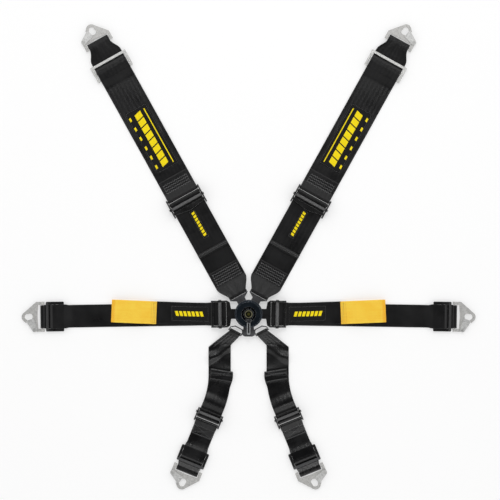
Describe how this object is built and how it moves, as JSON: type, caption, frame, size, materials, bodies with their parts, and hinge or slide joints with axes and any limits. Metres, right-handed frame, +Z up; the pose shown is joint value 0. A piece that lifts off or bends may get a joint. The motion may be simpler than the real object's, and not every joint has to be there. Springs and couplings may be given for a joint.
{
  "type": "racing harness",
  "caption": "Racing harness with a rotary cam-lock buckle, wide shoulder belts, narrower lap and crotch belts, pull adjusters, sliders and sprung snap-hook ends, laid out flat.",
  "frame": {"origin": "centre of the buckle's back plate, on the surface that the harness is laid on", "axes": "+Z up from the surface, +Y towards the shoulder belts, +X towards the right-hand lap belt"},
  "size_m": [1.0004, 1.0253, 0.0315],
  "materials": {
    "webbing_black": "woven polyester webbing, twill face",
    "webbing_yellow": "woven polyester webbing",
    "zinc_plate": "pressed steel, zinc plated",
    "latch_zinc": "bright zinc plated sheet",
    "rivet_steel": "turned steel",
    "black_steel": "satin black coated steel",
    "tongue_steel": "dark phosphated steel",
    "lock_bar_steel": "satin black, cross knurled",
    "dark_anodised": "dark blue-black anodised",
    "lever_black": "gloss black with machined edges",
    "badge_metal": "olive-gold anodised rings, no marking",
    "inner_steel": "machined steel"
  },
  "bodies": {
    "buckle": {"back_plate": "inner_steel", "housing": "dark_anodised", "buckle_screws": "inner_steel", "lock_spring": "inner_steel", "tongue_lap_left": "black_steel", "webbing_lap_left": "webbing_black", "slider_lap_left": "black_steel", "pull_loop_left": "webbing_yellow"},
    "knob": {"knob": "dark_anodised", "knob_lever": "lever_black", "knob_badge": "badge_metal", "cam_rotor": "inner_steel"},
    "locking_pins": {"pin_carrier": "inner_steel"},
    "belt_shoulder_right": {"tongue_shoulder_right": "tongue_steel", "webbing_shoulder_lower_right": "webbing_black", "adjuster_shoulder_right": "black_steel", "webbing_shoulder_upper_right": "webbing_black", "slider_shoulder_right": "zinc_plate"},
    "belt_shoulder_left": {"tongue_shoulder_left": "tongue_steel", "webbing_shoulder_lower_left": "webbing_black", "adjuster_shoulder_left": "black_steel", "webbing_shoulder_upper_left": "webbing_black", "slider_shoulder_left": "zinc_plate"},
    "belt_lap_right": {"tongue_lap_right": "black_steel", "webbing_lap_right": "webbing_black", "slider_lap_right": "black_steel", "pull_loop_right": "webbing_yellow"},
    "belts_crotch": {"tongue_crotch": "tongue_steel", "webbing_crotch_upper_right": "webbing_black", "webbing_crotch_upper_left": "webbing_black", "adjuster_crotch_right": "black_steel", "adjuster_crotch_left": "black_steel", "webbing_crotch_lower_right": "webbing_black", "webbing_crotch_lower_left": "webbing_black", "slider_crotch_right": "black_steel", "slider_crotch_left": "black_steel"},
    "lock_bar_shoulder_right": {"lock_bar_shoulder_right": "lock_bar_steel"},
    "anchor_shoulder_right": {"anchor_shoulder_right": "zinc_plate", "latch_rivet_shoulder_right": "rivet_steel"},
    "latch_shoulder_right": {"latch_shoulder_right": "latch_zinc"},
    "lock_bar_shoulder_left": {"lock_bar_shoulder_left": "lock_bar_steel"},
    "anchor_shoulder_left": {"anchor_shoulder_left": "zinc_plate", "latch_rivet_shoulder_left": "rivet_steel"},
    "latch_shoulder_left": {"latch_shoulder_left": "latch_zinc"},
    "lock_bar_lap_right": {"lock_bar_lap_right": "lock_bar_steel"},
    "anchor_lap_right": {"anchor_lap_right": "zinc_plate", "latch_rivet_lap_right": "rivet_steel"},
    "latch_lap_right": {"latch_lap_right": "latch_zinc"},
    "lock_bar_lap_left": {"lock_bar_lap_left": "lock_bar_steel"},
    "anchor_lap_left": {"anchor_lap_left": "zinc_plate", "latch_rivet_lap_left": "rivet_steel"},
    "latch_lap_left": {"latch_lap_left": "latch_zinc"},
    "lock_bar_crotch_right": {"lock_bar_crotch_right": "lock_bar_steel"},
    "anchor_crotch_right": {"anchor_crotch_right": "zinc_plate", "latch_rivet_crotch_right": "rivet_steel"},
    "latch_crotch_right": {"latch_crotch_right": "latch_zinc"},
    "lock_bar_crotch_left": {"lock_bar_crotch_left": "lock_bar_steel"},
    "anchor_crotch_left": {"anchor_crotch_left": "zinc_plate", "latch_rivet_crotch_left": "rivet_steel"},
    "latch_crotch_left": {"latch_crotch_left": "latch_zinc"}
  },
  "joints": [
    {"name": "knob_turn", "type": "hinge", "parent": "buckle", "child": "knob", "pos_m": [0, 0, 0.0275], "axis": [0, 0, 1], "range_deg": [0, 60], "stiffness_Nm_per_rad": 0.15},
    {"name": "locking_pins_lift", "type": "slide", "parent": "buckle", "child": "locking_pins", "axis": [0, 0, 1], "range_m": [0, 0.0046], "deforming": ["lock_spring"]},
    {"name": "shoulder_right_release", "type": "slide", "parent": "buckle", "child": "belt_shoulder_right", "axis": [0.4848, 0.8746, 0], "range_m": [0, 0.04]},
    {"name": "shoulder_left_release", "type": "slide", "parent": "buckle", "child": "belt_shoulder_left", "axis": [-0.4848, 0.8746, 0], "range_m": [0, 0.04]},
    {"name": "lap_right_release", "type": "slide", "parent": "buckle", "child": "belt_lap_right", "axis": [0.9999, -0.0157, 0], "range_m": [0, 0.04]},
    {"name": "crotch_release", "type": "slide", "parent": "buckle", "child": "belts_crotch", "axis": [0, -1, 0], "range_m": [0, 0.04]},
    {"name": "lock_bar_shoulder_right_slide", "type": "slide", "parent": "belt_shoulder_right", "child": "lock_bar_shoulder_right", "axis": [-0.4848, -0.8746, 0], "range_m": [0, 0.002]},
    {"name": "anchor_shoulder_right_swing", "type": "hinge", "parent": "belt_shoulder_right", "child": "anchor_shoulder_right", "pos_m": [0.33074, 0.59667, 0.00405], "axis": [0.8746, -0.4848, 0], "range_deg": [-2, 90]},
    {"name": "latch_shoulder_right_open", "type": "hinge", "parent": "anchor_shoulder_right", "child": "latch_shoulder_right", "pos_m": [0.36366, 0.59728, 0.00405], "axis": [0, 0, 1], "range_deg": [0, 25], "stiffness_Nm_per_rad": 0.02, "springref_deg": -20.05},
    {"name": "lock_bar_shoulder_left_slide", "type": "slide", "parent": "belt_shoulder_left", "child": "lock_bar_shoulder_left", "axis": [0.4848, -0.8746, 0], "range_m": [0, 0.002]},
    {"name": "anchor_shoulder_left_swing", "type": "hinge", "parent": "belt_shoulder_left", "child": "anchor_shoulder_left", "pos_m": [-0.33074, 0.59667, 0.00405], "axis": [0.8746, 0.4848, 0], "range_deg": [-2, 90]},
    {"name": "latch_shoulder_left_open", "type": "hinge", "parent": "anchor_shoulder_left", "child": "latch_shoulder_left", "pos_m": [-0.36366, 0.59728, 0.00405], "axis": [0, 0, -1], "range_deg": [0, 25], "stiffness_Nm_per_rad": 0.02, "springref_deg": -20.05},
    {"name": "lock_bar_lap_right_slide", "type": "slide", "parent": "belt_lap_right", "child": "lock_bar_lap_right", "axis": [0.9999, -0.0157, 0], "range_m": [0, 0.002]},
    {"name": "anchor_lap_right_swing", "type": "hinge", "parent": "belt_lap_right", "child": "anchor_lap_right", "pos_m": [0.45524, -0.00715, 0.00405], "axis": [-0.0157, -0.9999, 0], "range_deg": [-2, 90]},
    {"name": "latch_lap_right_open", "type": "hinge", "parent": "anchor_lap_right", "child": "latch_lap_right", "pos_m": [0.47129, -0.03591, 0.00405], "axis": [0, 0, 1], "range_deg": [0, 25], "stiffness_Nm_per_rad": 0.02, "springref_deg": -20.05},
    {"name": "lock_bar_lap_left_slide", "type": "slide", "parent": "buckle", "child": "lock_bar_lap_left", "axis": [-0.9999, -0.0157, 0], "range_m": [0, 0.002]},
    {"name": "anchor_lap_left_swing", "type": "hinge", "parent": "buckle", "child": "anchor_lap_left", "pos_m": [-0.45524, -0.00715, 0.00405], "axis": [-0.0157, 0.9999, 0], "range_deg": [-2, 90]},
    {"name": "latch_lap_left_open", "type": "hinge", "parent": "anchor_lap_left", "child": "latch_lap_left", "pos_m": [-0.47129, -0.03591, 0.00405], "axis": [0, 0, -1], "range_deg": [0, 25], "stiffness_Nm_per_rad": 0.02, "springref_deg": -20.05},
    {"name": "lock_bar_crotch_right_slide", "type": "slide", "parent": "belts_crotch", "child": "lock_bar_crotch_right", "axis": [-0.3746, 0.9272, 0], "range_m": [0, 0.002]},
    {"name": "anchor_crotch_right_swing", "type": "hinge", "parent": "belts_crotch", "child": "anchor_crotch_right", "pos_m": [0.1348, -0.34522, 0.00405], "axis": [-0.9272, -0.3746, 0], "range_deg": [-2, 90]},
    {"name": "latch_crotch_right_open", "type": "hinge", "parent": "anchor_crotch_right", "child": "latch_crotch_right", "pos_m": [0.1674, -0.34984, 0.00405], "axis": [0, 0, -1], "range_deg": [0, 25], "stiffness_Nm_per_rad": 0.02, "springref_deg": -20.05},
    {"name": "lock_bar_crotch_left_slide", "type": "slide", "parent": "belts_crotch", "child": "lock_bar_crotch_left", "axis": [0.3746, 0.9272, 0], "range_m": [0, 0.002]},
    {"name": "anchor_crotch_left_swing", "type": "hinge", "parent": "belts_crotch", "child": "anchor_crotch_left", "pos_m": [-0.1348, -0.34522, 0.00405], "axis": [-0.9272, 0.3746, 0], "range_deg": [-2, 90]},
    {"name": "latch_crotch_left_open", "type": "hinge", "parent": "anchor_crotch_left", "child": "latch_crotch_left", "pos_m": [-0.1674, -0.34984, 0.00405], "axis": [0, 0, 1], "range_deg": [0, 25], "stiffness_Nm_per_rad": 0.02, "springref_deg": -20.05}
  ],
  "couplings": [
    {"joint": "locking_pins_lift", "follows": "knob_turn", "m_per_rad": 0.0042972}
  ]
}
